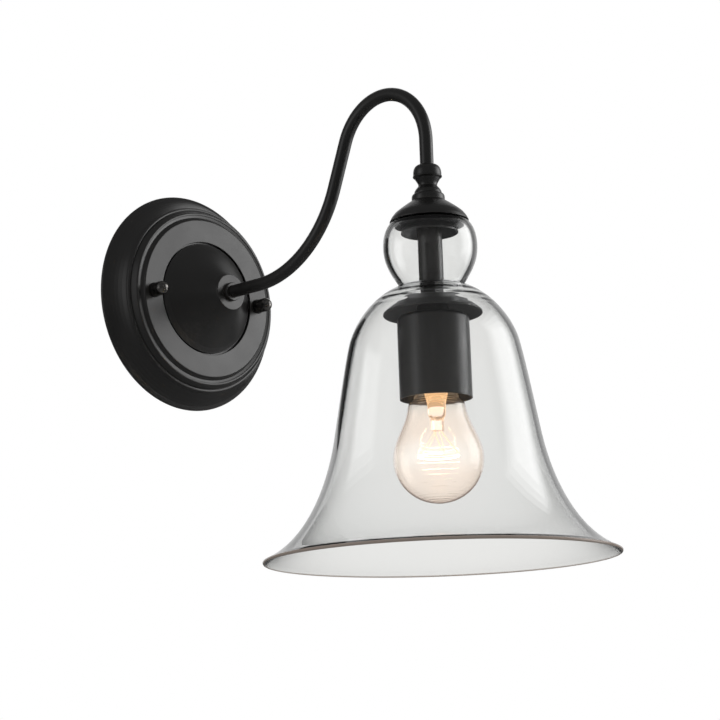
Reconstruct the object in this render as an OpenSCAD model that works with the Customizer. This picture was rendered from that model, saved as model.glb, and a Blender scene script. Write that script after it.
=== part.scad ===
// Wall sconce with a gooseneck arm and a clear glass bell shade, in millimetres.
// The wall is the plane y = 0, the lamp stands out towards -y and +z is up.
// The origin is the middle of the wall bracket's back face.

/* [Wall plate] */
// Diameter of the wall plate
canopy_d = 150; // [144:1:170]
// How far the flat ring of the plate stands off the wall
canopy_depth = 24.2; // [23:0.2:30]
// Outer diameter of the flat ring
ring_outer_d = 108.6; // [106:0.2:112]
// Inner diameter of the flat ring, where the recess for the cone begins
ring_inner_d = 78.6; // [74:0.2:82]
// Thickness of the plate's sheet
canopy_wall = 1.2; // [0.8:0.1:1.6]
// Height at which the plate's rolled edge is widest
canopy_edge = 3; // [2:0.5:5]
// Distance between the two studs that hold the plate
stud_spacing = 93; // [90:1:96]

/* [Arm cone] */
// Diameter of the cone where it sits on the plate
cone_base_d = 76.4; // [68:0.2:76.6]
// Diameter of the flat disc at the cone's tip
cone_tip_d = 25; // [20:1:32]
// Distance of the tip disc from the wall
cone_tip_out = 49; // [44:1:56]
// Diameter of the collar round the tube
collar_d = 12.8; // [12:0.2:16]
// Thickness of the collar
collar_h = 2.6; // [1.5:0.1:4]

/* [Arm] */
// Outer diameter of the tube
tube_d = 8.7; // [8.4:0.1:9.6]
// Wall of the tube
tube_wall = 1.1; // [0.8:0.1:1.2]
// Distance from the wall to the start of the first bend
arm_straight = 77.7; // [65:0.1:95]
// Radius of the first, upward bend
rise_bend_r = 81.4; // [60:0.1:110]
// Angle through which the first bend rises
rise_angle = 67.2; // [50:0.1:75]
// Straight run between the two bends
rise_length = 31.2; // [15:0.1:60]
// Radius of the hook at the top
hook_r = 37.7; // [30:0.1:48]
// Straight drop from the hook to the turned bead
neck_drop = 16.4; // [10:0.1:40]

/* [Turned neck] */
// Diameter of the bead
bead_d = 18.4; // [17:0.2:22]
// Height of the bead with its waist
bead_h = 13.6; // [12:0.2:18]
// Diameter of the waist under the bead
bead_waist_d = 11.8; // [11.4:0.1:14]
// Diameter of the small bell's edge
bell_d = 20.8; // [18:0.2:24]
// Height of the small bell
bell_h = 9.6; // [8:0.2:14]

/* [Shade cap] */
// Diameter of the cap at its rim
cap_d = 49.4; // [48.8:0.2:52]
// Height of the cap
cap_h = 13.5; // [13.2:0.1:15]
// Thickness of the cap's sheet
cap_wall = 1; // [0.8:0.1:1.2]

/* [Glass shade] */
// Thickness of the glass
glass_wall = 3; // [2.4:0.1:3.4]
// Thickness of the glass at its rim
rim_wall = 1.9; // [1.6:0.1:2.4]
// Diameter of the hole in the top of the glass
glass_hole_d = 29; // [28:0.2:30]
// Diameter of the ball neck
ball_d = 58.8; // [57:0.2:62]
// Height from the glass's top to the widest part of the ball
ball_top_h = 19.1; // [18:0.1:24]
// Height from the widest part of the ball to the waist
ball_low_h = 24.8; // [22:0.2:32]
// Outer diameter of the waist
waist_d = 39.6; // [39:0.2:44]
// Height from the waist to the rim
shade_h = 168.7; // [150:0.1:200]
// Diameter of the rim
rim_d = 220; // [200:1:240]

/* [Stem and socket cover] */
// Diameter of the sleeve inside the ball neck
sleeve_d = 15.4; // [14:0.2:18]
// Wall of the sleeve
sleeve_wall = 1.2; // [0.8:0.1:2]
// Diameter of the domed dish
dish_d = 62.2; // [56:0.2:66]
// Radius of the dish's dome
dish_dome_r = 45.2; // [44:0.2:60]
// Thickness of the dish's sheet
dish_wall = 1.2; // [0.8:0.1:1.6]
// Distance from the top of the dish down to the top of the socket cup
cup_drop = 13.7; // [13:0.1:18]
// Diameter of the socket cup
cup_d = 45; // [43.6:0.2:50]
// Height of the socket cup
cup_h = 52.2; // [50:0.2:64]
// Wall of the socket cup
cup_wall = 1.2; // [0.8:0.1:1.6]

/* [Lampholder and bulb] */
// Diameter of the ceramic lampholder
holder_d = 38; // [36:0.5:40]
// Pitch of the lamp thread
thread_pitch = 3.629; // [3.629]
// Radial play between the bulb's thread and the holder's
thread_play = 0.35; // [0.3:0.05:0.45]
// Diameter of the bulb's glass
bulb_d = 56; // [50:1:60]
// Length of the bulb from its contact to its tip
bulb_length = 100; // [94:1:108]
// Diameter of the filament's curve
filament_d = 25; // [18:1:28]

/* [Wall bracket] */
// Length of the bracket
bracket_l = 110; // [106:1:120]
// Height of the bracket's bar
bracket_w = 20; // [18:1:24]
// Thickness of the bracket
bracket_t = 2; // [1.5:0.1:2.4]
// How far the bracket's ends stand off the wall
bracket_lift = 4.5; // [4:0.1:6]
// Distance between the two slots for the wall screws
slot_spacing = 60; // [54:1:62]
// Length of each slot
slot_l = 14; // [8:1:16]
// Width of each slot
slot_w = 5; // [4:0.1:6]

/* [Hidden] */
$fn = 64;

// Play between a threaded or sliding piece and its bore, on the radius
fit = 0.05;
// Play between two curved faces that only lie near each other
near = 0.3;

// Sizes of the tube and of the arm's path, measured out from the wall and up
tube_r = tube_d / 2;
bore_r = tube_r - tube_wall;
tail_out = 15;
tube_sides = 24;
rise_end_out = arm_straight + rise_bend_r * sin(rise_angle);
rise_end_z = rise_bend_r * (1 - cos(rise_angle));
hook_out = rise_end_out + rise_length * cos(rise_angle) + hook_r * sin(rise_angle);
hook_z = rise_end_z + rise_length * sin(rise_angle) - hook_r * cos(rise_angle);
hook_angle = rise_angle + 90;
reach = hook_out + hook_r;

// Heights of the turned neck, the cap and the glass
bead_z = hook_z - neck_drop;
bell_z = bead_z - bead_h;
cap_z = bell_z - bell_h;
cap_rim_z = cap_z - cap_h;
cap_overlap = 2.7;
glass_z = cap_rim_z + cap_overlap;
ball_z = glass_z - ball_top_h;
waist_z = ball_z - ball_low_h;
rim_z = waist_z - shade_h;
ball_r = ball_d / 2;
waist_r = waist_d / 2;
glass_hole_r = glass_hole_d / 2;

// The tube ends inside the bead, and the stem pipe starts just below it
tube_in_bead = 9.6;
tube_end_z = bead_z - tube_in_bead;
pipe_top_z = tube_end_z - near;

// The cone that clamps the glass from inside, and its gaskets
clamp_drop = 0.8;
clamp_top_z = glass_z - clamp_drop;
clamp_h = 9.5;
clamp_edge_h = 0.8;
clamp_top_r = 12;
clamp_rim_r = 18;
clamp_wall = 1.2;
gasket_h = 2.5;

// The sleeve, its nut and the dish
nut_flats = 14;
nut_h = 7.4;
sleeve_top_z = clamp_top_z - clamp_wall;
sleeve_over_waist = 1.9;
sleeve_end_z = waist_z + sleeve_over_waist;
dish_z = sleeve_end_z - nut_h;
dish_r = dish_d / 2;
dish_flat_r = 9;
dish_nut_h = 5;
dish_nut_z = dish_z - dish_wall;

// The socket cup and the lampholder inside it
cup_z = dish_z - cup_drop;
cup_r = cup_d / 2;
cup_boss_r = 10;
cup_boss_z = dish_nut_z - dish_nut_h;
cup_end_z = cup_z - cup_h;
bridge_t = 1.5;
bridge_z = cup_z - cup_wall;
hub_r = 7;
hub_h = 6;
pipe_end_z = bridge_z - hub_h;
holder_z = bridge_z - bridge_t;
holder_r = holder_d / 2;
mouth_depth = 5.2;
holder_end_z = cup_end_z + mouth_depth;
roof_t = 10;
roof_z = holder_z - roof_t;
hub_pocket_r = hub_r + 1;
hub_pocket_h = hub_h + 1.5;

// The bridge's screws stand beside the hub's pocket, with their heads sunk in the roof
holder_screw_r = 1.5;
holder_screw_y = hub_pocket_r + holder_screw_r + 1.2;
screw_pocket_h = 3;
screw_pocket_r = 2.8;

// The lamp thread: a circle set off its axis, with its middle going round once a pitch
thread_r = 12.65;
thread_off = 0.52;
thread_turns = 5;
thread_h = thread_turns * thread_pitch;
thread_sides = 24;
thread_rings = 8;
chamber_r = 14.3;

// The bulb hangs below its contact
skirt_end_z = holder_end_z + 1.5;
bulb_cap_h = 28;
contact_z = skirt_end_z + bulb_cap_h;
bulb_tip_z = contact_z - bulb_length;
bulb_r = bulb_d / 2;
bulb_centre_z = bulb_tip_z + bulb_r;
bulb_wall = 0.8;
skirt_r = thread_r + thread_off + 0.1;
skirt_h = 4;
thread_low_z = skirt_end_z + skirt_h;
thread_top_z = thread_low_z + thread_h;
cap_sheet = 0.6;
cap_lip_h = 1;
insulator_drop = 2.2;
glass_neck_r = 12.2;
glass_neck_z = skirt_end_z + 3.4;
filament_r = filament_d / 2;
filament_z = bulb_centre_z + 1.5;
stem_r = 5.5;
stem_end_z = bulb_centre_z + 25.6;
pinch_w = 8.4;
pinch_t = 3;
pinch_end_z = bulb_centre_z + 17.4;

// The screw shell ends just above the skirt of the bulb's cap
shell_end_z = thread_low_z + near;
shell_top_z = thread_top_z + 0.6;
shell_outer_r = chamber_r - fit;

// Terminals under the lampholder's roof
terminal_x = 9;
terminal_t = 0.8;
terminal_w = 8;
spring_t = 0.5;
spring_z = contact_z + near;

// Plate, bracket and stud places
canopy_r = canopy_d / 2;
ring_outer_r = ring_outer_d / 2;
ring_inner_r = ring_inner_d / 2;
recess_depth = 2;
recess_out = canopy_depth - recess_depth;
canopy_back = recess_out - canopy_wall;
stud_x = stud_spacing / 2;
stud_r = 2;
stud_clear_r = stud_r + fit;
stud_head_r = 3.8;
stud_head_h = 2.4;
stud_proud = 8.8;
stud_end_out = canopy_depth + stud_proud;
lock_nut_h = 3.2;
lock_nut_flats = 7;
cap_washer_h = 0.8;
cap_washer_r = 5;
cap_nut_r = 4.7;
cap_nut_l = 7;
nut_chamfer = 0.5;
cap_nut_out = canopy_depth + cap_washer_h;
tab_w = 24;
tab_l = 22;
earth_x = -14;
earth_screw_r = 2;

// Nut and tag on the arm's tail, behind the plate
tag_t = 1;
tag_r = 9;
tail_nut_h = 5;
tail_nut_out = canopy_back - tag_t - tail_nut_h;

// Wires
wire_r = 1.15;
wire_x = 1.4;
wire_sides = 8;

// Terminal block below the bracket's bar
block_w = 20;
block_l = 14;
block_h = 11;
block_top_z = -16;
block_pole_x = 4.5;
block_hole_r = 1.6;
block_hole_out = bracket_t + 5.5;
block_screw_r = 1.5;
block_screw_sink = 4;
grub_r = 1.8;
grub_rows = [0.28, 0.72];
terminal_screw_r = 1.25;

// Points of an arc about a centre, from one angle to another
function arc(centre, r, from, to, steps = 6) = [
    for (i = [0:steps])
        let (a = from + (to - from) * i / steps)
        centre + r * [cos(a), sin(a)]
];

// Points of a cubic curve; the handles are given from its two ends
function curve(p, handle_p, handle_q, q, steps = 12) = [
    for (i = [0:steps])
        let (t = i / steps, s = 1 - t)
        s * s * s * p + 3 * s * s * t * (p + handle_p) + 3 * s * t * t * (q + handle_q) + t * t * t * q
];

// A list without its first item, to join curves end to end
function rest_of(list) = [for (i = [1:len(list) - 1]) list[i]];
function reversed(list) = [for (i = [len(list) - 1:-1:0]) list[i]];
function unit(v) = v / norm(v);
function left_of(v) = [-v.y, v.x];

// An outline moved to its left by one distance or by one for each point, never past the axis
function moved_left(points, distance) = [
    for (i = [0:len(points) - 1])
        let (
            last = len(points) - 1,
            before = unit(i == 0 ? points[1] - points[0] : points[i] - points[i - 1]),
            after = unit(i == last ? points[i] - points[i - 1] : points[i + 1] - points[i]),
            side = unit(left_of(before) + left_of(after)),
            apart = is_list(distance) ? distance[i] : distance,
            shifted = points[i] + side * apart / max(0.6, side * left_of(before))
        )
        [max(0, shifted.x), shifted.y]
];

// A spun shell: its outline runs from the rim to the top, and the wall lies on its left
module spun_shell(outline, wall) {
    rotate_extrude()
        polygon(concat(outline, reversed(moved_left(outline, wall))));
}

// Turns a piece so that its own z axis points out of the wall
module out_of_wall() {
    rotate([90, 0, 0])
        children();
}

// Moves a piece onto the lamp's upright axis
module on_lamp_axis() {
    translate([0, -reach, 0])
        children();
}

module ring(outer_r, inner_r, h) {
    difference() {
        cylinder(r = outer_r, h = h);
        translate([0, 0, -1])
            cylinder(r = inner_r, h = h + 2);
    }
}

// A hexagon nut, bored for a shaft; flats is the width across its flats
module hex_nut(flats, hole_r, h) {
    difference() {
        cylinder(d = flats / cos(30), h = h, $fn = 6);
        translate([0, 0, -1])
            cylinder(r = hole_r, h = h + 2);
    }
}

// A pan head above z = 0 and a shank below it
module pan_screw(head_r, head_h, shank_r, shank_l) {
    slot_t = head_h * 0.45;
    difference() {
        rotate_extrude()
            polygon(concat(
                [[0, -shank_l], [shank_r, -shank_l], [shank_r, 0], [head_r, 0]],
                arc([head_r - head_h * 0.6, head_h * 0.4], head_h * 0.6, 0, 90),
                [[0, head_h]]
            ));
        translate([-head_r - 1, -slot_t / 2, head_h - slot_t])
            cube([2 * head_r + 2, slot_t, head_h]);
    }
}

// The direction of a path at each of its points
function directions(points) = [
    for (i = [0:len(points) - 1])
        unit(points[min(i + 1, len(points) - 1)] - points[max(i - 1, 0)])
];

// A side vector carried along a path without twist
function carried(dirs, side, i = 0, found = []) =
    i == len(dirs) ? found :
    let (next = unit(side - (side * dirs[i]) * dirs[i]))
    carried(dirs, next, i + 1, concat(found, [next]));

// Corners of the rings of a round bar swept along points
function swept_corners(points, r, sides, first_side) =
    let (dirs = directions(points), across = carried(dirs, first_side))
    [
        for (i = [0:len(points) - 1], k = [0:sides - 1])
            let (a = 360 * k / sides)
            points[i] + r * (cos(a) * across[i] + sin(a) * cross(dirs[i], across[i]))
    ];

// Side faces between those rings; first is the number of their first corner
function swept_walls(rings, sides, first) = [
    for (i = [0:rings - 2], k = [0:sides - 1])
        let (a = first + i * sides + k, b = first + i * sides + (k + 1) % sides)
        each [[a, a + sides, b], [b, a + sides, b + sides]]
];

// A solid round wire swept along points
module lead(points, r, sides, first_side) {
    corners = swept_corners(points, r, sides, first_side);
    walls = swept_walls(len(points), sides, 0);
    start = [for (k = [1:sides - 2]) [0, k, k + 1]];
    base = (len(points) - 1) * sides;
    end = [for (k = [1:sides - 2]) [base, base + k + 1, base + k]];
    polyhedron(points = corners, faces = concat(walls, start, end));
}

// A round tube swept along points
module swept_tube(points, outer_r, inner_r, sides, first_side) {
    rings = len(points);
    inner = rings * sides;
    base = (rings - 1) * sides;
    corners = concat(
        swept_corners(points, outer_r, sides, first_side),
        swept_corners(points, inner_r, sides, first_side)
    );
    outer_walls = swept_walls(rings, sides, 0);
    inner_walls = [for (face = swept_walls(rings, sides, inner)) reversed(face)];
    ends = [
        for (k = [0:sides - 1])
            let (m = (k + 1) % sides)
            each [
                [k, m, inner + k], [m, inner + m, inner + k],
                [base + m, base + k, inner + base + k], [base + m, inner + base + k, inner + base + m]
            ]
    ];
    polyhedron(points = corners, faces = concat(outer_walls, inner_walls, ends));
}

// Points of the arm's middle line between its two ends, as distance out and height
arm_line = concat(
    [[tail_out, 0], [35, 0], [55, 0], [arm_straight, 0]],
    rest_of([
        for (i = [0:10])
            let (a = rise_angle * i / 10)
            [arm_straight + rise_bend_r * sin(a), rise_bend_r * (1 - cos(a))]
    ]),
    [
        for (i = [0:18])
            let (heading = rise_angle - hook_angle * i / 18)
            [hook_out - hook_r * sin(heading), hook_z + hook_r * cos(heading)]
    ],
    [[reach, bead_z], [reach, tube_end_z]]
);

// A bracket end: the bar steps off the wall before it reaches the stud
module bracket_bar() {
    half = bracket_l / 2;
    seat_l = 9.5;
    step_from = stud_x - seat_l;
    step_to = step_from + bracket_lift * 0.6;
    rise = bracket_lift;
    bend = bracket_t * 0.45;
    profile = [
        [-step_from, 0], [step_from, 0], [step_to, rise], [half, rise],
        [half, rise + bracket_t], [step_to - bend, rise + bracket_t],
        [step_from - bend, bracket_t], [-step_from + bend, bracket_t],
        [-step_to + bend, rise + bracket_t], [-half, rise + bracket_t],
        [-half, rise], [-step_to, rise]
    ];
    translate([0, 0, -bracket_w / 2])
        linear_extrude(bracket_w)
            mirror([0, 1])
                polygon(profile);
}

// A slot for a wall screw, along x
module wall_slot(x) {
    out_of_wall()
        translate([x, 0, -1]) {
            run = slot_l - slot_w;
            for (side = [-1, 1])
                translate([side * run / 2, 0, 0])
                    cylinder(d = slot_w, h = bracket_t + 2);
            translate([-run / 2, -slot_w / 2, 0])
                cube([run, slot_w, bracket_t + 2]);
        }
}

module wall_bracket() {
    color("lightsteelblue")
        difference() {
            union() {
                bracket_bar();
                translate([-tab_w / 2, -bracket_t, -bracket_w / 2 - tab_l])
                    cube([tab_w, bracket_t, tab_l + 1]);
            }
            for (side = [-1, 1]) {
                wall_slot(side * slot_spacing / 2);
                out_of_wall()
                    translate([side * stud_x, 0, 0])
                        cylinder(r = stud_clear_r, h = 20);
            }
            out_of_wall()
                translate([earth_x, 0, -1])
                    cylinder(r = earth_screw_r + fit, h = bracket_t + 2);
            out_of_wall()
                translate([0, block_top_z - block_l / 2, -1])
                    cylinder(r = block_screw_r + fit, h = bracket_t + 2);
        }
}

module stud_screws() {
    shank_l = stud_end_out - bracket_lift;
    color("silver")
        out_of_wall()
            for (side = [-1, 1])
                translate([side * stud_x, 0, bracket_lift])
                    mirror([0, 0, 1])
                        pan_screw(stud_head_r, stud_head_h, stud_r, shank_l);
}

module stud_lock_nuts() {
    color("silver")
        out_of_wall()
            for (side = [-1, 1])
                translate([side * stud_x, 0, bracket_lift + bracket_t])
                    hex_nut(lock_nut_flats, stud_clear_r, lock_nut_h);
}

// The eyelet lies between the bracket and the earth screw's head.
// A crimped barrel is sunk a little into its plate, so that the two are one piece.
eyelet_t = 0.8;
eyelet_r = 4;
barrel_r = 1.8;
barrel_lift = 1.5;
barrel_strip_w = 3.2;

module earth_screw() {
    head_r = 3.6;
    head_h = 2.2;
    tip_short = 0.2;
    color("gold")
        out_of_wall()
            translate([earth_x, 0, bracket_t + eyelet_t])
                pan_screw(head_r, head_h, earth_screw_r, bracket_t + eyelet_t - tip_short);
}

// A ring terminal with a crimped barrel that points away from the middle
module earth_eyelet() {
    barrel_l = 5;
    barrel_x = earth_x - eyelet_r - barrel_l;
    color("tan")
        out_of_wall() {
            difference() {
                union() {
                    translate([earth_x, 0, bracket_t])
                        cylinder(r = eyelet_r, h = eyelet_t);
                    translate([barrel_x, -barrel_strip_w / 2, bracket_t])
                        cube([barrel_l + 1, barrel_strip_w, eyelet_t]);
                }
                translate([earth_x, 0, 0])
                    cylinder(r = earth_screw_r + fit, h = 10);
            }
            translate([barrel_x, 0, bracket_t + eyelet_t + barrel_lift])
                rotate([0, 90, 0])
                    ring(barrel_r, wire_r + fit, barrel_l - 1.5);
        }
}

// The tag under the arm's nut, with a barrel on its left for the earth wire
tag_strip_l = 6;
tag_barrel_l = 4.5;
tag_barrel_x = -tag_r - tag_strip_l;

module earth_tag() {
    color("tan")
        out_of_wall() {
            difference() {
                union() {
                    translate([0, 0, canopy_back - tag_t])
                        cylinder(r = tag_r, h = tag_t);
                    translate([tag_barrel_x, -barrel_strip_w / 2, canopy_back - tag_t])
                        cube([tag_strip_l + 1, barrel_strip_w, tag_t]);
                }
                translate([0, 0, canopy_back - tag_t - 1])
                    cylinder(r = tube_r + fit, h = tag_t + 2);
            }
            translate([tag_barrel_x, 0, canopy_back - tag_t - barrel_lift])
                rotate([0, 90, 0])
                    ring(barrel_r, wire_r + fit, tag_barrel_l);
        }
}

// The earth wire makes one loop between the tag on the arm and the eyelet on the bracket
module earth_wire() {
    from_out = canopy_back - tag_t - barrel_lift;
    to_out = bracket_t + eyelet_t + barrel_lift;
    loop_r = (from_out - to_out) / 2;
    loop_x = min(tag_barrel_x, earth_x - eyelet_r - 5) - 1.5;
    points = concat(
        [[tag_barrel_x + 4, -from_out, 0]],
        [
            for (i = [0:10])
                let (a = 180 * i / 10)
                [loop_x - loop_r * sin(a), -(to_out + loop_r + loop_r * cos(a)), 0]
        ],
        [[earth_x - eyelet_r - 2, -to_out, 0]]
    );
    color("yellowgreen")
        lead(points, wire_r, wire_sides, [0, 0, 1]);
}

// The plate's outer line, from the wall over the two ridges to the flat ring
module canopy() {
    ridge_a = [ring_outer_r + 8.9, canopy_depth - 7];
    ridge_b = [ring_outer_r + 4.9, canopy_depth - 3.1];
    edge_r = 1.2;
    roll_r = 2.4;
    ridge_r = 1.4;
    outline = concat(
        [[canopy_r - roll_r, 0], [canopy_r - roll_r, 0.3]],
        arc([canopy_r - roll_r, canopy_edge], roll_r, -60, 0),
        rest_of(arc([canopy_r - edge_r, canopy_edge], edge_r, 0, 70)),
        rest_of(curve([canopy_r - 1, canopy_edge + 1.1], [-3.6, 1.6], [2.2, -5],
            ridge_a + [1.5, -1.2], 6)),
        arc(ridge_a, ridge_r, 0, 130),
        arc(ridge_b, ridge_r, 20, 130),
        [[ring_outer_r + 2.4, canopy_depth - 2.3]],
        arc([ring_outer_r - 0.2, canopy_depth - 1], 1, 15, 90, 4),
        arc([ring_inner_r + 0.4, canopy_depth - 0.4], 0.4, 90, 180, 3),
        [[ring_inner_r, recess_out], [tube_r + fit, recess_out]]
    );
    color("dimgray")
        out_of_wall()
            difference() {
                spun_shell(outline, canopy_wall);
                for (side = [-1, 1])
                    translate([side * stud_x, 0, 0])
                        cylinder(r = stud_r + near, h = canopy_depth + 5);
            }
}

module cap_washer(side) {
    color("black")
        out_of_wall()
            translate([side * stud_x, 0, canopy_depth])
                ring(cap_washer_r, stud_r + near, cap_washer_h);
}

// A domed nut, bored blind for its stud
module cap_nut(side) {
    color("dimgray")
        out_of_wall()
            translate([side * stud_x, 0, cap_nut_out])
                difference() {
                    rotate_extrude()
                        polygon(concat(
                            [[0, 0], [cap_nut_r - nut_chamfer, 0], [cap_nut_r, nut_chamfer]],
                            arc([0, cap_nut_l], cap_nut_r, 0, 90, 10)
                        ));
                    translate([0, 0, -1])
                        cylinder(r = stud_clear_r, h = stud_end_out - cap_nut_out + 2);
                }
}

// The cone's line runs from its base flange up a slightly hollow side to the flat tip
module arm_cone() {
    base_r = cone_base_d / 2;
    tip_r = cone_tip_d / 2;
    round_r = 0.8;
    base_lean = [-9, 6.4];
    tip_lean = [6, -9.5];
    outline = concat(
        [[base_r, recess_out]],
        arc([base_r - round_r, recess_out + round_r], round_r, 0, 80, 4),
        rest_of(curve([base_r - 1.2, recess_out + 1.7], base_lean, tip_lean,
            [tip_r, cone_tip_out - round_r], 12)),
        arc([tip_r - round_r, cone_tip_out - round_r], round_r, 10, 90, 4),
        [[tube_r + fit, cone_tip_out]]
    );
    color("dimgray")
        out_of_wall()
            spun_shell(outline, canopy_wall);
}

module arm_collar() {
    outer_r = collar_d / 2;
    round_r = min(0.8, collar_h / 3);
    color("black")
        out_of_wall()
            translate([0, 0, cone_tip_out])
                rotate_extrude()
                    polygon(concat(
                        [[tube_r + fit, 0], [outer_r, 0]],
                        arc([outer_r - round_r, collar_h - round_r], round_r, 0, 90, 4),
                        [[tube_r + fit, collar_h]]
                    ));
}

module arm_tube() {
    points = [for (p = arm_line) [0, -p.x, p.y]];
    color("dimgray")
        swept_tube(points, tube_r, bore_r, tube_sides, [1, 0, 0]);
}

module arm_lock_nut() {
    color("silver")
        out_of_wall()
            translate([0, 0, tail_nut_out])
                hex_nut(nut_flats, tube_r + fit, tail_nut_h);
}

// A flanged bush that guards the wires at the tube's cut end
module tail_bush() {
    flange_h = 1;
    sleeve_l = 4;
    wire_play = 0.2;
    color("white")
        out_of_wall()
            difference() {
                union() {
                    translate([0, 0, tail_out - flange_h])
                        cylinder(r = tube_r, h = flange_h);
                    translate([0, 0, tail_out])
                        cylinder(r = bore_r - fit, h = sleeve_l);
                }
                translate([0, 0, tail_out - 5])
                    cylinder(r = wire_x + wire_r + wire_play, h = 12);
            }
}

module terminal_block() {
    color("ivory")
        difference() {
            translate([-block_w / 2, -bracket_t - block_h, block_top_z - block_l])
                cube([block_w, block_h, block_l]);
            for (side = [-1, 1]) {
                translate([side * block_pole_x, -block_hole_out, block_top_z - block_l - 1])
                    cylinder(r = block_hole_r, h = block_l + 2);
                for (row = grub_rows)
                    translate([side * block_pole_x, -bracket_t - block_h / 2, block_top_z - block_l * row])
                        out_of_wall()
                            cylinder(r = grub_r, h = block_h);
            }
            translate([0, 0, block_top_z - block_l / 2])
                out_of_wall() {
                    cylinder(r = block_screw_r + fit, h = 20);
                    translate([0, 0, bracket_t + block_h - block_screw_sink])
                        cylinder(r = 2.6, h = block_screw_sink + 1);
                }
        }
}

// Four grub screws that clamp the wires in the block
module block_wire_screws() {
    length = 3.6;
    slot_t = 0.6;
    slot_depth = 0.8;
    color("silver")
        for (side = [-1, 1], row = grub_rows)
            translate([side * block_pole_x, 0, block_top_z - block_l * row])
                out_of_wall()
                    translate([0, 0, block_hole_out + wire_r + 0.1])
                        difference() {
                            cylinder(r = grub_r - fit, h = length);
                            translate([-grub_r, -slot_t / 2, length - slot_depth])
                                cube([2 * grub_r, slot_t, slot_depth + 1]);
                        }
}

module block_fixing_screw() {
    head_r = 2.4;
    head_h = 1.8;
    tip_short = 0.2;
    seat_out = bracket_t + block_h - block_screw_sink;
    color("silver")
        translate([0, 0, block_top_z - block_l / 2])
            out_of_wall()
                translate([0, 0, seat_out])
                    pan_screw(head_r, head_h, block_screw_r, seat_out - tip_short);
}

// A supply wire runs from the block through the arm and the stem to its terminal.
// The side is -1 for live and 1 for neutral.
module supply_wire(side) {
    bend_r = 6;
    to_block = [
        for (i = [1:6])
            let (a = 15 * i, spread = (1 - cos(a)) / 2)
            [side * (wire_x + (block_pole_x - wire_x) * spread),
                -(tail_out - bend_r * sin(a)), -bend_r * (1 - cos(a))]
    ];
    in_block = [
        [side * block_pole_x, -block_hole_out, block_top_z + 3],
        [side * block_pole_x, -block_hole_out, block_top_z - 6]
    ];
    in_arm = [for (p = arm_line) [side * wire_x, -p.x, p.y]];
    turn_r = 2.5;
    turn_z = roof_z - 2;
    in_holder = [
        for (i = [0:5])
            let (a = 18 * i)
            [side * (wire_x + turn_r * (1 - cos(a))), -reach, turn_z + turn_r * (1 - sin(a))]
    ];
    wire_end = [[side * (terminal_x - 2.4), -reach, turn_z]];
    lead(concat(reversed(in_block), reversed(to_block), in_arm, in_holder, wire_end),
        wire_r, wire_sides, [side, 0, 0]);
}

module live_wire() {
    color("saddlebrown")
        supply_wire(-1);
}

module neutral_wire() {
    color("steelblue")
        supply_wire(1);
}

// The turned ball with a fine edge and the hollow waist below it
module coupling_bead() {
    r = bead_d / 2;
    waist = bead_waist_d / 2;
    entry_r = tube_r + 1;
    outline = concat(
        curve([waist, 0], [0, 1.6], [-1.2, -2.2], [r - 1.2, 4.6], 6),
        arc([r - 0.7, 5.9], 0.7, -60, 60, 4),
        rest_of(curve([r - 0.35, 6.5], [0.2, 3], [3.2, -1], [entry_r, bead_h], 8)),
        [[tube_r + fit, bead_h], [tube_r + fit, 0]]
    );
    color("dimgray")
        on_lamp_axis()
            translate([0, 0, bell_z])
                rotate_extrude()
                    polygon(outline);
}

// The small bell has two rounded steps and a plain band at its foot
module coupling_bell() {
    r = bell_d / 2;
    top_r = bead_waist_d / 2;
    step_z = bell_h * 0.52;
    step_r = (r + top_r) / 2;
    outline = concat(
        [[tube_r + fit, 0], [r, 0], [r, 1]],
        rest_of(curve([r, 1], [0, 2], [1.6, -0.6], [step_r + 0.5, step_z - 0.6], 6)),
        [[step_r + 0.5, step_z]],
        rest_of(curve([step_r + 0.5, step_z], [-0.2, 2], [0.6, -1.4], [top_r, bell_h], 6)),
        [[tube_r + fit, bell_h]]
    );
    color("dimgray")
        on_lamp_axis()
            translate([0, 0, cap_z])
                rotate_extrude()
                    polygon(outline);
}

// The cap's line from its rim over the shoulder and up the straight slope
cap_shoulder = [cap_d / 2 - 2.9, cap_rim_z + 4.9];
cap_outline = concat(
    [[cap_d / 2, cap_rim_z], [cap_d / 2, cap_rim_z + 0.4], [cap_d / 2 - 0.3, cap_rim_z + 0.8]],
    rest_of(curve([cap_d / 2 - 0.3, cap_rim_z + 0.8], [-0.6, 1.8], [1.2, -1.6], cap_shoulder, 6)),
    rest_of(curve(cap_shoulder, [-1.2, 1.6], [1, -0.4], [bell_d / 2 + 0.6, cap_z - 0.6], 6)),
    [[bell_d / 2, cap_z], [tube_r + fit, cap_z]]
);

module shade_cap() {
    color("dimgray")
        on_lamp_axis()
            spun_shell(cap_outline, cap_wall);
}

// The glass's outer line, from the rim up the flare, the bell and the ball neck to the hole.
// Each joint has its place and its slope, and the curve leans away from it by the slope.
function leaning(slope, length) = length * unit([slope, -1]);

bell_in = 57.6;
bell_drop = 35.3;
flare_in = 46.3;
flare_drop = 94.7;
bell_joint = [rim_d / 2 - bell_in, waist_z - bell_drop];
flare_joint = [rim_d / 2 - flare_in, waist_z - flare_drop];
bell_slope = 0.28;
flare_slope = 0.18;
rim_slope = 2.5;
rim_lean = 29;
flare_low_lean = 29.5;
flare_top_lean = 19;
bell_low_lean = 10.3;
bell_top_lean = 12;
shoulder_lean = [18, -6];
neck_lean = [4, 6.8];
ball_low_lean = 11;
ball_top_lean = 11.5;
hole_lean = 10.3;
waist_point = [waist_r, waist_z];
glass_lower = concat(
    curve([rim_d / 2, rim_z], -leaning(rim_slope, rim_lean), leaning(flare_slope, flare_low_lean),
        flare_joint, 16),
    rest_of(curve(flare_joint, -leaning(flare_slope, flare_top_lean), leaning(bell_slope, bell_low_lean),
        bell_joint, 8)),
    rest_of(curve(bell_joint, -leaning(bell_slope, bell_top_lean), shoulder_lean, waist_point, 14))
);
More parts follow.
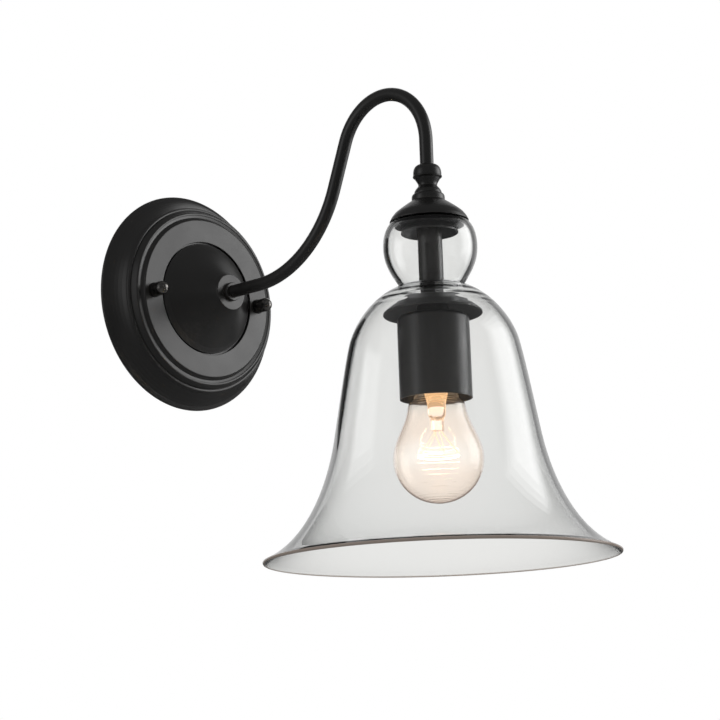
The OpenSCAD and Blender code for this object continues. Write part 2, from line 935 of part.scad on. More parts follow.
glass_upper = concat(
    curve(waist_point, neck_lean, [0, -ball_low_lean], [ball_r, ball_z], 12),
    rest_of(curve([ball_r, ball_z], [0, ball_top_lean], [hole_lean, 0], [glass_hole_r, glass_z], 12))
);

// The wall thins evenly over the flare, from this far inside the rim out to the rim
thinning_w = 46;
function glass_wall_at(p) = glass_wall - (glass_wall - rim_wall) * max(0, 1 - (rim_d / 2 - p.x) / thinning_w);

module glass_shade() {
    inner_lower = moved_left(glass_lower, [for (p = glass_lower) glass_wall_at(p)]);
    inner_upper = moved_left(glass_upper, glass_wall);
    waist_round = arc(waist_point, glass_wall, 248, 157, 4);
    color("lightblue", 0.35)
        on_lamp_axis()
            rotate_extrude()
                polygon(concat(
                    glass_lower, rest_of(glass_upper),
                    reversed(inner_upper), reversed(waist_round), reversed(inner_lower)
                ));
}

// Soft rings above and below the edge of the hole in the glass
module upper_gasket() {
    hole_r = glass_hole_r + 0.3;
    outer_r = glass_hole_r + 4.2;
    thick = 1.4;
    color("black")
        on_lamp_axis()
            translate([0, 0, glass_z])
                ring(outer_r, hole_r, thick);
}

module lower_gasket() {
    top_z = glass_z - glass_wall;
    slope = (clamp_rim_r - clamp_top_r) / (clamp_h - clamp_edge_h);
    seat_r = clamp_top_r + near * 1.25;
    inner_top_r = seat_r + (clamp_top_z - top_z) * slope;
    inner_low_r = inner_top_r + gasket_h * slope;
    inner_drop = 0.1;
    outer_drop = 0.5;
    color("black")
        on_lamp_axis()
            rotate_extrude()
                polygon([
                    [inner_top_r, top_z - inner_drop], [clamp_rim_r, top_z - outer_drop],
                    [clamp_rim_r, top_z - gasket_h], [inner_low_r, top_z - gasket_h]
                ]);
}

// The cone is pushed up against the gasket by the sleeve
module clamp_cone() {
    outline = [
        [clamp_rim_r, clamp_top_z - clamp_h],
        [clamp_rim_r, clamp_top_z - clamp_h + clamp_edge_h],
        [clamp_top_r, clamp_top_z],
        [tube_r + fit, clamp_top_z]
    ];
    color("dimgray")
        on_lamp_axis()
            spun_shell(outline, clamp_wall);
}

module stem_sleeve() {
    color("dimgray")
        on_lamp_axis()
            translate([0, 0, sleeve_end_z])
                ring(sleeve_d / 2, sleeve_d / 2 - sleeve_wall, sleeve_top_z - sleeve_end_z);
}

module sleeve_nut() {
    color("dimgray")
        on_lamp_axis()
            translate([0, 0, dish_z])
                hex_nut(nut_flats - 1, tube_r + fit, nut_h);
}

module stem_pipe() {
    color("silver")
        on_lamp_axis()
            translate([0, 0, pipe_end_z])
                ring(tube_r, bore_r, pipe_top_z - pipe_end_z);
}

// A shallow dome with a flat seat for the nuts and a short upright edge
module shade_dish() {
    edge_angle = acos(dish_r / dish_dome_r);
    flat_angle = acos(dish_flat_r / dish_dome_r);
    centre_z = dish_z - dish_dome_r * sin(flat_angle);
    edge_z = centre_z + dish_dome_r * sin(edge_angle);
    outline = concat(
        [[dish_r, edge_z - 0.8]],
        arc([0, centre_z], dish_dome_r, edge_angle, flat_angle, 12),
        [[tube_r + fit, dish_z]]
    );
    color("dimgray")
        on_lamp_axis()
            spun_shell(outline, dish_wall);
}

module dish_nut() {
    color("silver")
        on_lamp_axis()
            translate([0, 0, dish_nut_z - dish_nut_h])
                hex_nut(nut_flats, tube_r + fit, dish_nut_h - fit);
}

// A drawn cup with a small boss on top that meets the nut
module socket_cup() {
    round_r = 2.2;
    outline = concat(
        [[cup_r, cup_end_z]],
        arc([cup_r - round_r, cup_z - round_r], round_r, 0, 90, 6),
        [[cup_boss_r + 2, cup_z]],
        curve([cup_boss_r + 1, cup_z + 0.3], [-1, 0], [0.4, -3], [cup_boss_r, cup_boss_z - 1], 4),
        [[cup_boss_r - 1, cup_boss_z], [tube_r + fit, cup_boss_z]]
    );
    color("dimgray")
        on_lamp_axis()
            spun_shell(outline, cup_wall);
}

// Steel bridge on top of the ceramic, with a threaded hub for the pipe
module holder_bridge() {
    length = holder_d - 4;
    width = 14;
    color("silver")
        on_lamp_axis()
            translate([0, 0, holder_z])
                difference() {
                    union() {
                        translate([-width / 2, -length / 2, 0])
                            cube([width, length, bridge_t]);
                        cylinder(r = hub_pocket_r, h = bridge_t);
                        translate([0, 0, bridge_t - hub_h])
                            cylinder(r = hub_r, h = hub_h);
                    }
                    translate([0, 0, -hub_h])
                        cylinder(r = tube_r + fit, h = 2 * hub_h);
                    for (side = [-1, 1])
                        translate([0, side * holder_screw_y, -1])
                            cylinder(r = holder_screw_r + fit, h = bridge_t + 2);
                }
}

module holder_screws() {
    head_r = 2.5;
    head_h = 1.6;
    color("silver")
        on_lamp_axis()
            for (side = [-1, 1])
                translate([0, side * holder_screw_y, roof_z + screw_pocket_h])
                    mirror([0, 0, 1])
                        pan_screw(head_r, head_h, holder_screw_r, bridge_z - roof_z - screw_pocket_h);
}

module lampholder_body() {
    chamfer = 1;
    round_r = 2;
    wire_play = 0.4;
    color("beige")
        on_lamp_axis()
            difference() {
                rotate_extrude()
                    polygon(concat(
                        [[0, holder_end_z], [holder_r - chamfer, holder_end_z]],
                        [[holder_r, holder_end_z + chamfer]],
                        arc([holder_r - round_r, holder_z - round_r], round_r, 0, 90, 5),
                        [[0, holder_z]]
                    ));
                translate([0, 0, holder_end_z - 1])
                    cylinder(r = chamber_r, h = roof_z - holder_end_z + 1);
                translate([0, 0, holder_z - hub_pocket_h])
                    cylinder(r = hub_pocket_r, h = hub_pocket_h + 1);
                translate([0, 0, roof_z - 1])
                    cylinder(r = wire_x + wire_r + wire_play, h = roof_t);
                for (side = [-1, 1])
                    translate([0, side * holder_screw_y, roof_z - 1]) {
                        cylinder(r = holder_screw_r + fit, h = roof_t + 2);
                        cylinder(r = screw_pocket_r, h = screw_pocket_h + 1);
                    }
                for (side = [-1, 1])
                    translate([side * terminal_x, 0, roof_z - 1])
                        cylinder(r = terminal_screw_r + fit, h = 5);
            }
}

// How far the round thread's wall stands from its axis, in one direction at one height
function thread_reach(r, angle, height) =
    let (lean = angle - 360 * height / thread_pitch)
    thread_off * cos(lean) + sqrt(r * r - pow(thread_off * sin(lean), 2));

// A piece of round thread between two heights above its start, hollow if it has an inner radius
module lamp_thread(r, inner_r, from, to) {
    rings = round(thread_rings * (to - from) / thread_pitch);
    heights = [for (i = [0:rings]) from + (to - from) * i / rings];
    outer = [
        for (h = heights, k = [0:thread_sides - 1])
            let (a = 360 * k / thread_sides, far = thread_reach(r, a, h))
            [far * cos(a), far * sin(a), h]
    ];
    inner = [
        for (h = [from, to], k = [0:thread_sides - 1])
            let (a = 360 * k / thread_sides)
            [inner_r * cos(a), inner_r * sin(a), h]
    ];
    top = rings * thread_sides;
    bore = top + thread_sides;
    walls = swept_walls(rings + 1, thread_sides, 0);
    bored = [
        for (k = [0:thread_sides - 1])
            let (m = (k + 1) % thread_sides, a = bore + k, b = bore + m, up = thread_sides)
            each [
                [a, b, a + up], [b, b + up, a + up],
                [k, m, b], [k, b, a],
                [top + m, top + k, a + up], [top + m, a + up, b + up]
            ]
    ];
    solid = [
        [for (k = [0:thread_sides - 1]) k],
        [for (k = [thread_sides - 1:-1:0]) top + k]
    ];
    polyhedron(
        points = inner_r > 0 ? concat(outer, inner) : outer,
        faces = concat(walls, inner_r > 0 ? bored : solid)
    );
}

// The brass shell that the bulb screws into
module screw_shell() {
    low = shell_end_z - thread_low_z;
    high = shell_top_z - thread_low_z;
    color("gold")
        on_lamp_axis()
            translate([0, 0, thread_low_z])
                difference() {
                    translate([0, 0, low])
                        cylinder(r = shell_outer_r, h = high - low);
                    lamp_thread(thread_r + thread_play, 0, low - 0.5, high + 0.5);
                }
}

// A springy strip from the live terminal round under the bulb's contact
module centre_spring() {
    outer_x = terminal_x + terminal_w / 2 - 1;
    tongue_w = 6;
    color("orange")
        on_lamp_axis()
            difference() {
                union() {
                    translate([-outer_x, -terminal_w / 2, roof_z - terminal_t])
                        cube([terminal_w - 1.5, terminal_w, terminal_t]);
                    translate([-outer_x, -tongue_w / 2, spring_z])
                        cube([spring_t, tongue_w, roof_z - spring_z]);
                    translate([-outer_x, -tongue_w / 2, spring_z])
                        cube([outer_x + 3, tongue_w, spring_t]);
                }
                translate([-terminal_x, 0, roof_z - 5])
                    cylinder(r = terminal_screw_r + fit, h = 10);
            }
}

// A strip from the neutral terminal down to the top of the screw shell
module shell_terminal() {
    leg_x = chamber_r - 0.4;
    leg_w = 4;
    color("gold")
        on_lamp_axis()
            difference() {
                union() {
                    translate([terminal_x - terminal_w / 2 + 1, -leg_w / 2, roof_z - terminal_t])
                        cube([leg_x - terminal_x + terminal_w / 2 - 1, leg_w, terminal_t]);
                    translate([leg_x - terminal_t, -leg_w / 2, shell_top_z])
                        cube([terminal_t, leg_w, roof_z - shell_top_z]);
                }
                translate([terminal_x, 0, roof_z - 5])
                    cylinder(r = terminal_screw_r + fit, h = 10);
            }
}

module terminal_screws() {
    head_r = 2.1;
    head_h = 1.6;
    shank_l = 4;
    color("silver")
        on_lamp_axis()
            for (side = [-1, 1])
                translate([side * terminal_x, 0, roof_z - terminal_t])
                    mirror([0, 0, 1])
                        pan_screw(head_r, head_h, terminal_screw_r, shank_l);
}

// The soldered button on the bulb's end
module bulb_contact() {
    r = 4.8;
    rise = 1.6;
    foot_h = insulator_drop - rise;
    color("silver")
        on_lamp_axis()
            translate([0, 0, contact_z - insulator_drop])
                rotate_extrude()
                    polygon(concat(
                        [[0, 0], [r, 0], [r, foot_h]],
                        rest_of(curve([r, foot_h], [-0.6, 0.9], [2.4, 0], [0, insulator_drop], 6))
                    ));
}

// Black glass cone between the contact and the screw cap
insulator_top_z = contact_z - insulator_drop;
insulator_h = insulator_top_z - thread_top_z - cap_lip_h;

module bulb_insulator() {
    top_r = 5.6;
    color("black")
        on_lamp_axis()
            translate([0, 0, insulator_top_z - insulator_h])
                cylinder(r1 = thread_r - thread_off - cap_sheet - 0.2, r2 = top_r, h = insulator_h);
}

// Threaded cap of the bulb, with a plain skirt at the glass
module bulb_screw_cap() {
    inner_r = thread_r - thread_off - cap_sheet;
    color("silver")
        on_lamp_axis() {
            translate([0, 0, skirt_end_z])
                ring(skirt_r, glass_neck_r + fit, skirt_h);
            translate([0, 0, thread_low_z])
                lamp_thread(thread_r, inner_r, 0, thread_h);
            translate([0, 0, thread_top_z])
                ring(thread_r - thread_off - 0.1, inner_r + 0.1, cap_lip_h);
        }
}

// The bulb's line, from its tip round the ball and up the neck into the cap
module bulb_glass() {
    shoulder = [bulb_r * 0.65, bulb_centre_z + bulb_r * 1.11];
    ball_lean = [0, 12];
    shoulder_low_lean = [0.7, -9.5];
    shoulder_top_lean = [-0.5, 6];
    cap_lean = [0, -6];
    outline = concat(
        arc([0, bulb_centre_z], bulb_r, -90, 0, 14),
        rest_of(curve([bulb_r, bulb_centre_z], ball_lean, shoulder_low_lean, shoulder, 10)),
        rest_of(curve(shoulder, shoulder_top_lean, cap_lean, [glass_neck_r, skirt_end_z - near], 8)),
        [[glass_neck_r, glass_neck_z]]
    );
    color("white", 0.3)
        on_lamp_axis()
            spun_shell(outline, bulb_wall);
}

// The glass stem flares to the neck and ends in a flat pinch that holds the wires
module bulb_stem() {
    flare_z = glass_neck_z - 3;
    flare_r = glass_neck_r - bulb_wall - 0.1;
    foot = [0, stem_end_z - stem_r * 0.4];
    side = [stem_r, stem_end_z + 3];
    foot_lean = 3.4;
    side_lean = 8;
    flare_lean = 4;
    outline = concat(
        [foot],
        rest_of(curve(foot, [foot_lean, 0], [0, -foot_lean], side, 8)),
        rest_of(curve(side, [0, side_lean], [-flare_lean, 0], [flare_r, flare_z - 1], 8)),
        [[flare_r, flare_z], [0, flare_z]]
    );
    color("white", 0.3)
        on_lamp_axis() {
            rotate_extrude()
                polygon(outline);
            translate([-pinch_w / 2, -pinch_t / 2, pinch_end_z])
                cube([pinch_w, pinch_t, stem_end_z - pinch_end_z]);
        }
}

// A thin rod between two points
module rod(from, to, r) {
    along = to - from;
    length = norm(along);
    tilt = acos(along.z / length);
    translate(from)
        rotate([0, tilt, atan2(along.y, along.x)])
            cylinder(r = r, h = length);
}

// The filament is an open curve, and its two ends face each other across a gap
filament_gap = 70;
filament_wire_r = 0.35;
lead_wire_r = 0.4;
support_wire_r = 0.22;
support_angles = [20, 90, 160];
function on_filament(angle) = [filament_r * cos(angle), filament_r * sin(angle), filament_z];

// Two lead wires from the pinch to the ends of the filament
module bulb_leads() {
    color("silver")
        on_lamp_axis()
            for (side = [-1, 1])
                rod([side * (pinch_w / 2 - 1), 0, pinch_end_z - near],
                    on_filament(-90 + side * filament_gap / 2) + [0, 0, lead_wire_r + filament_wire_r + 0.05],
                    lead_wire_r);
}

// Three thin wires that hold the filament up between its ends
module bulb_supports() {
    color("silver")
        on_lamp_axis()
            for (angle = support_angles)
                rod([1.8 * cos(angle), 0.8 * sin(angle), pinch_end_z - near],
                    on_filament(angle) + [0, 0, filament_wire_r + near], support_wire_r);
}

module bulb_filament() {
    color("orange")
        on_lamp_axis()
            translate([0, 0, filament_z])
                rotate([0, 0, -90 + filament_gap / 2])
                    rotate_extrude(angle = 360 - filament_gap)
                        translate([filament_r, 0])
                            circle(r = filament_wire_r, $fn = 24);
}

wall_bracket();
stud_screws();
stud_lock_nuts();
earth_screw();
earth_eyelet();
earth_wire();
canopy();
cap_washer(-1);  // cap_washer_left
cap_washer(1);  // cap_washer_right
cap_nut(-1);  // cap_nut_left
cap_nut(1);  // cap_nut_right
arm_cone();
arm_collar();
arm_tube();
earth_tag();
arm_lock_nut();
tail_bush();
terminal_block();
block_wire_screws();
block_fixing_screw();
live_wire();
neutral_wire();
coupling_bead();
coupling_bell();
shade_cap();
upper_gasket();
glass_shade();
lower_gasket();
clamp_cone();
stem_sleeve();
sleeve_nut();
stem_pipe();
shade_dish();
dish_nut();
socket_cup();
holder_bridge();
holder_screws();
lampholder_body();
screw_shell();
centre_spring();
shell_terminal();
terminal_screws();
bulb_contact();
bulb_insulator();
bulb_screw_cap();
bulb_glass();
bulb_stem();
bulb_leads();
bulb_supports();
bulb_filament();
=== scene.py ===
"""The looks of a wall sconce: black metal plate and arm, clear glass bell and a lit bulb.

Shapes are written in millimetres and turned into metres where their meshes are made. The lamp
stands out from the wall towards -Y, "out" is the distance from the wall, and +Z is up.
"""

import math

import bpy
from mathutils import Matrix, Vector


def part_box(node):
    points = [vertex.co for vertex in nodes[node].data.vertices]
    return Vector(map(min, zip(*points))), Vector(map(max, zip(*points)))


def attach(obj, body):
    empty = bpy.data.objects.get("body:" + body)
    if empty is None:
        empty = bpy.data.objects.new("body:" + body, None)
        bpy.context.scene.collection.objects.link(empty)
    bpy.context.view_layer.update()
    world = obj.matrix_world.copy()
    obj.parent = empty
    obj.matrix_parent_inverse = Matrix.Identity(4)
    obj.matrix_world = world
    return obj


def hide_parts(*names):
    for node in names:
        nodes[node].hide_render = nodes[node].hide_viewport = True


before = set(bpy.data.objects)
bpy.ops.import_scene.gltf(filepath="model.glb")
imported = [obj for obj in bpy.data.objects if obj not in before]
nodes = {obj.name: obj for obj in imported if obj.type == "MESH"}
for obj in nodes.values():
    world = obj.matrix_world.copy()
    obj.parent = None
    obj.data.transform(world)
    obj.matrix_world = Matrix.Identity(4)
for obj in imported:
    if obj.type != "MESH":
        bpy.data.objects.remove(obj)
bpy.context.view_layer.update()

MM = 0.001

bpy.context.scene.view_settings.view_transform = "Standard"

# Camera

LENS = 120.0
SENSOR = 36.0
CAMERA_PLACE = Vector((-1.054384, -1.243894, -0.350378))
CAMERA_RIGHT = Vector((0.71712829, -0.69612114, -0.03379915))
CAMERA_UP = Vector((-0.10545035, -0.15631517, 0.98206201))
CAMERA_BACK = CAMERA_RIGHT.cross(CAMERA_UP)


def make_camera():
    camera = bpy.data.objects.new("camera", bpy.data.cameras.new("camera"))
    camera.data.lens = LENS
    camera.data.sensor_width = SENSOR
    camera.data.clip_end = 20
    axes = Matrix((CAMERA_RIGHT, CAMERA_UP, CAMERA_BACK)).transposed()
    camera.matrix_world = Matrix.Translation(CAMERA_PLACE) @ axes.to_4x4()
    bpy.context.scene.collection.objects.link(camera)
    bpy.context.scene.camera = camera


make_camera()

# Places taken from the frame, in millimetres


def span(node, axis):
    """Lowest and highest coordinate of a node along one axis."""
    low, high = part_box(node)
    return low[axis] / MM, high[axis] / MM


def middle(node, axis):
    low, high = span(node, axis)
    return (low + high) / 2


X, Y, Z = 0, 1, 2
reach = -middle("shade_cap", Y)
glass_top = span("glass_shade", Z)[1]
rim_r = span("glass_shade", X)[1]
bulb_low = span("bulb_glass", Z)[0]


def on_lamp(x, y, z):
    """From the lamp's upright axis to the frame."""
    return Vector((x, y - reach, z)) * MM


# Curves and outlines


def point(x, y):
    return Vector((x, y))


def line(p, q, steps):
    return [p.lerp(q, i / steps) for i in range(steps + 1)]


def arc(centre, radius, start, stop, steps):
    """Points on a circle, from one angle to another in degrees."""
    angles = [math.radians(start + (stop - start) * i / steps) for i in range(steps + 1)]
    return [centre + radius * point(math.cos(a), math.sin(a)) for a in angles]


def curve(p, lean_p, lean_q, q, steps):
    """A cubic curve, with each handle given from its own end."""
    found = []
    for i in range(steps + 1):
        t = i / steps
        s = 1 - t
        found.append(s ** 3 * p + 3 * s * s * t * (p + lean_p) + 3 * s * t * t * (q + lean_q) + t ** 3 * q)
    return found


def joined(*runs):
    """Runs of points one after another, without doubled points."""
    found = []
    for run in runs:
        for p in run:
            if not found or (p - found[-1]).length > 1e-4:
                found.append(p)
    return found


def moved_left(points, distance):
    """An outline moved to its left, by one distance or by one for each point."""
    found = []
    apart = distance if isinstance(distance, list) else [distance] * len(points)
    for i, p in enumerate(points):
        before = (p - points[i - 1]).normalized() if i else (points[1] - p).normalized()
        after = (points[i + 1] - p).normalized() if i + 1 < len(points) else before
        left = point(-before.y, before.x)
        side = (left + point(-after.y, after.x)).normalized()
        found.append(p + side * apart[i] / side.dot(left))
    return found


# Meshes


def make_piece(name, corners, faces, material, slot, replaced, sharp):
    """A piece of the lamp's fixed body that stands for one node; edges over the sharp angle stay crisp."""
    mesh = bpy.data.meshes.new(name)
    mesh.from_pydata([tuple(c) for c in corners], [], faces)
    mesh.validate()
    mesh.shade_smooth()
    mesh.set_sharp_from_angle(angle=math.radians(sharp))
    mesh.materials.append(material)
    piece = bpy.data.objects.new(name, mesh)
    bpy.context.scene.collection.objects.link(piece)
    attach(piece, "lamp")
    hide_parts(replaced)


def turned(outline, around):
    """Corners and faces of an outline turned round the lamp's axis.

    The outline is closed and clear of the axis, as (radius, height) in millimetres.
    """
    corners = []
    for p in outline:
        for k in range(around):
            a = 2 * math.pi * k / around
            corners.append(on_lamp(p.x * math.cos(a), p.x * math.sin(a), p.y))
    faces = []
    for i in range(len(outline)):
        row = i * around
        follow = (i + 1) % len(outline) * around
        for k in range(around):
            m = (k + 1) % around
            faces.append((row + k, row + m, follow + m, follow + k))
    return corners, faces


def tube_along(path, outer, inner, around):
    """Corners and faces of a round tube swept along points in metres, open from end to end."""
    sides = []
    side = Vector((1, 0, 0))
    for i in range(len(path)):
        ahead = (path[min(i + 1, len(path) - 1)] - path[max(i - 1, 0)]).normalized()
        side = (side - side.dot(ahead) * ahead).normalized()
        sides.append((side, ahead.cross(side)))
    corners = []
    for radius in (outer, inner):
        for p, (a, b) in zip(path, sides):
            for k in range(around):
                t = 2 * math.pi * k / around
                corners.append(p + radius * MM * (math.cos(t) * a + math.sin(t) * b))
    faces = []
    count = len(path) * around
    last = count - around
    for k in range(around):
        m = (k + 1) % around
        for low in range(0, last, around):
            high = low + around
            faces.append((low + k, low + m, high + m, high + k))
            faces.append((count + high + k, count + high + m, count + low + m, count + low + k))
        faces.append((k, count + k, count + m, m))
        faces.append((last + k, last + m, count + last + m, count + last + k))
    return corners, faces


# Materials


def math_node(tree, operation, first, second):
    """What a Math node makes of two sockets or numbers, kept between 0 and 1."""
    made = tree.nodes.new("ShaderNodeMath")
    made.operation = operation
    made.use_clamp = True
    for socket, value in zip(made.inputs, (first, second)):
        if isinstance(value, float):
            socket.default_value = value
        else:
            tree.links.new(value, socket)
    return made.outputs["Value"]


class Shade:
    """A small helper that builds one node material with a Principled surface."""

    def __init__(self, name, **constants):
        self.material = bpy.data.materials.new(name)
        self.material.use_nodes = True
        self.tree = self.material.node_tree
        self.surface = self.tree.nodes["Principled BSDF"]
        self.output = self.tree.nodes["Material Output"]
        for key, value in constants.items():
            self.surface.inputs[key.replace("_", " ")].default_value = value
        self.place = self.tree.nodes.new("ShaderNodeTexCoord").outputs["Object"]

    def node(self, kind, **settings):
        made = self.tree.nodes.new(kind)
        for key, value in settings.items():
            setattr(made, key, value)
        return made

    def link(self, source, target):
        self.tree.links.new(source, target)

    def noise(self, scale, detail=3.0, roughness=0.5, stretch=None):
        made = self.node("ShaderNodeTexNoise")
        made.inputs["Scale"].default_value = scale
        made.inputs["Detail"].default_value = detail
        made.inputs["Roughness"].default_value = roughness
        source = self.place
        if stretch:
            mapping = self.node("ShaderNodeMapping")
            mapping.inputs["Scale"].default_value = stretch
            self.link(self.place, mapping.inputs["Vector"])
            source = mapping.outputs["Vector"]
        self.link(source, made.inputs["Vector"])
        return made.outputs["Fac"]

    def ramp(self, source, *stops):
        """Stops are (place, colour), with the colour as one grey value or as red, green and blue."""
        made = self.node("ShaderNodeValToRGB")
        elements = made.color_ramp.elements
        while len(elements) < len(stops):
            elements.new(0.5)
        for element, (where, colour) in zip(elements, stops):
            element.position = where
            rgb = (colour,) * 3 if isinstance(colour, float) else colour
            element.color = (*rgb, 1)
        self.link(source, made.inputs["Fac"])
        return made.outputs["Color"]

    def mix(self, amount, first, second):
        """Two colours, each a socket or red, green and blue."""
        made = self.node("ShaderNodeMix", data_type="RGBA")
        self.link(amount, made.inputs[0])
        for socket, value in ((made.inputs[6], first), (made.inputs[7], second)):
            if isinstance(value, tuple):
                socket.default_value = (*value, 1)
            else:
                self.link(value, socket)
        return made.outputs[2]

    def bump(self, source, strength, distance, below=None):
        made = self.node("ShaderNodeBump")
        made.inputs["Strength"].default_value = strength
        made.inputs["Distance"].default_value = distance
        self.link(source, made.inputs["Height"])
        if below is not None:
            self.link(below, made.inputs["Normal"])
        return made.outputs["Normal"]

    def along(self, what, low, high):
        """From 0 to 1 between two heights, or between two radii round the lamp's axis, in millimetres."""
        if what == "height":
            apart = self.node("ShaderNodeSeparateXYZ")
            self.link(self.place, apart.inputs["Vector"])
            source = apart.outputs["Z"]
        else:
            flat = self.node("ShaderNodeVectorMath", operation="MULTIPLY_ADD")
            flat.inputs[1].default_value = (1, 1, 0)
            flat.inputs[2].default_value = (0, reach * MM, 0)
            self.link(self.place, flat.inputs[0])
            length = self.node("ShaderNodeVectorMath", operation="LENGTH")
            self.link(flat.outputs["Vector"], length.inputs[0])
            source = length.outputs["Value"]
        made = self.node("ShaderNodeMapRange")
        made.inputs["From Min"].default_value = low * MM
        made.inputs["From Max"].default_value = high * MM
        self.link(source, made.inputs["Value"])
        return made.outputs["Result"]

    def edges(self, low, high):
        """Bright where the mesh has outer edges."""
        made = self.node("ShaderNodeNewGeometry")
        return self.ramp(made.outputs["Pointiness"], (low, 0.0), (high, 1.0))

    def set(self, name, source):
        self.link(source, self.surface.inputs[name])


def colour(red, green, blue):
    """An sRGB colour from 0 to 255 as linear light."""
    linear = []
    for value in (red, green, blue):
        v = value / 255
        linear.append(v / 12.92 if v <= 0.04045 else ((v + 0.055) / 1.055) ** 2.4)
    return tuple(linear)


def scaled(rgb, factor):
    return tuple(min(1, c * factor) for c in rgb)


def satin_black():
    """Baked black coat: fine grain, faint cloudiness and a painted highlight that lightens its edges."""
    s = Shade("satin_black", IOR=2.0)
    base = colour(19, 18, 17)
    cloud = s.ramp(s.noise(35, 4), (0.35, scaled(base, 0.8)), (0.7, scaled(base, 1.3)))
    # Painted highlight: the mesh's outer edges are painted lighter, standing in for light catching the
    # ridges and rims.
    edge_highlight = s.mix(s.edges(0.53, 0.62), cloud, colour(48, 46, 43))
    s.set("Base Color", edge_highlight)
    s.set("Roughness", s.ramp(s.noise(60, 5), (0.3, 0.3), (0.75, 0.39)))
    s.set("Normal", s.bump(s.noise(1800, 2), 0.12, 0.0002))
    return s.material


def gloss_black():
    """Polished black nickel on the cap nuts."""
    s = Shade("gloss_black", Metallic=1.0)
    s.set("Base Color", s.ramp(s.noise(500, 3), (0.3, colour(96, 95, 96)), (0.7, colour(168, 165, 160))))
    s.set("Roughness", s.ramp(s.noise(900, 4), (0.3, 0.12), (0.8, 0.26)))
    s.set("Normal", s.bump(s.noise(700, 3), 0.5, 0.0003))
    return s.material


def steel(name, tone, rough=0.32):
    """Plated sheet and turned parts, with drawn lines and a cloudy tarnish."""
    s = Shade(name, Metallic=1.0)
    lines = s.noise(420, 4, 0.6, (1, 1, 14))
    tarnish = s.noise(90, 5)
    s.set("Base Color", s.ramp(tarnish, (0.3, scaled(tone, 0.82)), (0.7, scaled(tone, 1.08))))
    s.set("Roughness", s.ramp(lines, (0.25, rough - 0.08), (0.8, rough + 0.12)))
    s.set("Normal", s.bump(lines, 0.08, 0.0001))
    return s.material


def plastic(name, tone, rough=0.5, grain=1400):
    """Moulded plastic, opaque glass or soft rubber, with a fine skin."""
    s = Shade(name)
    s.set("Base Color", s.ramp(s.noise(120, 4), (0.3, scaled(tone, 0.88)), (0.75, scaled(tone, 1.06))))
    s.set("Roughness", s.ramp(s.noise(200, 4), (0.3, rough - 0.06), (0.75, rough + 0.08)))
    s.set("Normal", s.bump(s.noise(grain, 2), 0.1, 0.0001))
    return s.material


def wire_jacket(name, tone, stripe=None):
    """Soft wire insulation, for the earth wire with a second colour round half of it."""
    s = Shade(name)
    base = s.ramp(s.noise(260, 3), (0.3, scaled(tone, 0.86)), (0.75, scaled(tone, 1.1)))
    if stripe:
        wave = s.noise(170, 0, 0.5, (1, 1, 6))
        base = s.mix(s.ramp(wave, (0.49, 0.0), (0.51, 1.0)), base, stripe)
    s.set("Base Color", base)
    s.set("Roughness", s.ramp(s.noise(300, 3), (0.3, 0.38), (0.75, 0.52)))
    s.set("Normal", s.bump(s.noise(1500, 2), 0.08, 0.0001))
    return s.material


def glazed_ceramic():
    """White glazed ceramic, faintly mottled, under a glossy coat."""
    s = Shade("ceramic", Coat_Weight=0.6, Coat_Roughness=0.08)
    tone = colour(236, 232, 222)
    s.set("Base Color", s.ramp(s.noise(140, 5), (0.3, scaled(tone, 0.93)), (0.7, scaled(tone, 1.02))))
    s.set("Roughness", s.ramp(s.noise(240, 4), (0.3, 0.3), (0.8, 0.45)))
    s.set("Normal", s.bump(s.noise(260, 3), 0.06, 0.0003))
    return s.material


def let_light_through(s, tint):
    """Glass that doesn't block the lamps' light: shadow rays pass it with a slight tint."""
    passing = s.node("ShaderNodeBsdfTransparent")
    passing.inputs["Color"].default_value = (*tint, 1)
    path = s.node("ShaderNodeLightPath")
    chosen = s.node("ShaderNodeMixShader")
    s.link(path.outputs["Is Shadow Ray"], chosen.inputs["Fac"])
    s.link(s.surface.outputs["BSDF"], chosen.inputs[1])
    s.link(passing.outputs["BSDF"], chosen.inputs[2])
    s.link(chosen.outputs["Shader"], s.output.inputs["Surface"])


# Zones of the glass finishes, in millimetres: the ground lip of the rim, inward of its edge,
# the folded waist, below the top of the shade, and the bulb, above its lowest point
LIP_STARTS = 1.6
LIP_FULL = 0.8
WAIST_LOW = 62
WAIST_HIGH = 38
BULB_SHOWN_H = 75


def clear_glass():
    """Blown clear glass with a greyer lip, soft waves all over and ring folds at its waist."""
    s = Shade("clear_glass", IOR=1.5, Roughness=0.0, Specular_IOR_Level=0.42)
    clear = s.ramp(s.noise(14, 2), (0.3, colour(252, 253, 253)), (0.8, colour(254, 254, 254)))
    rim = s.along("radius", rim_r - LIP_STARTS, rim_r - LIP_FULL)
    s.set("Base Color", s.mix(rim, clear, colour(226, 208, 196)))
    s.set("Transmission Weight", s.ramp(rim, (0.0, 1.0), (1.0, 0.3)))
    waves = s.noise(22, 1, 0.4, (1, 1, 0.35))
    waist = s.along("height", glass_top - WAIST_LOW, glass_top - WAIST_HIGH)
    near_waist = s.ramp(waist, (0.0, 0.0), (0.35, 1.0), (0.75, 1.0), (1.0, 0.0))
    folds = s.noise(330, 0, 0.5, (0.02, 0.02, 1))
    rings = s.mix(near_waist, (0.5, 0.5, 0.5), folds)
    s.set("Normal", s.bump(rings, 0.55, 0.0012, s.bump(waves, 0.05, 0.002)))
    let_light_through(s, (0.94, 0.95, 0.95))
    return s.material


